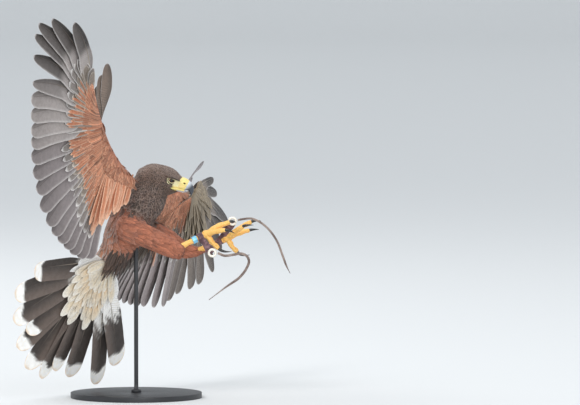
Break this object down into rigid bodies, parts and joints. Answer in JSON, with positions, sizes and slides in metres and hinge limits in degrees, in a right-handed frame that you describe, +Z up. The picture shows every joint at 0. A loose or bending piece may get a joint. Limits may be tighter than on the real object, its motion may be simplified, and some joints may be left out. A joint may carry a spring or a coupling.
{
  "type": "harris hawk on display stand",
  "caption": "Life-size still hawk braking to land, wings spread, tail fanned and legs thrown forward, with leg leathers, on a round base with one rod.",
  "frame": {"origin": "centre of the stand base's underside, on the surface it stands on", "axes": "+Z up, +X the way the bird flies and its bill points, +Y to its left"},
  "size_m": [0.5229, 0.9193, 0.7306],
  "materials": {
    "brown_plumage": "soft matt feathers",
    "yellow_skin": "scaly skin, satin",
    "horn": "polished horn",
    "eye": "wet gloss",
    "flight_feathers": "smooth feathers with a faint sheen",
    "tail_feathers": "smooth feathers with a faint sheen",
    "rufous_plumage": "soft matt feathers",
    "claw": "polished horn",
    "leather": "worn and supple",
    "nickel": "bright plated metal",
    "blue_ring": "anodised",
    "stand_black": "satin black"
  },
  "bodies": {
    "root": {"head": "brown_plumage", "cere": "yellow_skin", "bill_upper": "horn", "bill_lower": "horn", "eye_R": "eye", "eye_L": "eye", "neck": "brown_plumage", "torso": "brown_plumage", "alula_R": "flight_feathers", "wing_hand_R": "flight_feathers", "wing_arm_R": "flight_feathers", "alula_L": "flight_feathers", "wing_hand_L": "flight_feathers", "wing_arm_L": "flight_feathers", "tail": "tail_feathers", "thigh_R": "rufous_plumage", "tarsus_R": "yellow_skin", "foot_R": "yellow_skin", "claw_R_1": "claw", "claw_R_2": "claw", "claw_R_3": "claw", "claw_R_4": "claw", "thigh_L": "rufous_plumage", "tarsus_L": "yellow_skin", "foot_L": "yellow_skin", "claw_L_1": "claw", "claw_L_2": "claw", "claw_L_3": "claw", "claw_L_4": "claw", "cuff_R": "leather", "eyelet_R": "nickel", "strap_R": "leather", "cuff_L": "leather", "eyelet_L": "nickel", "strap_L": "leather", "leg_ring_R": "blue_ring", "stand_base": "stand_black", "stand_rod": "stand_black"}
  },
  "joints": []
}
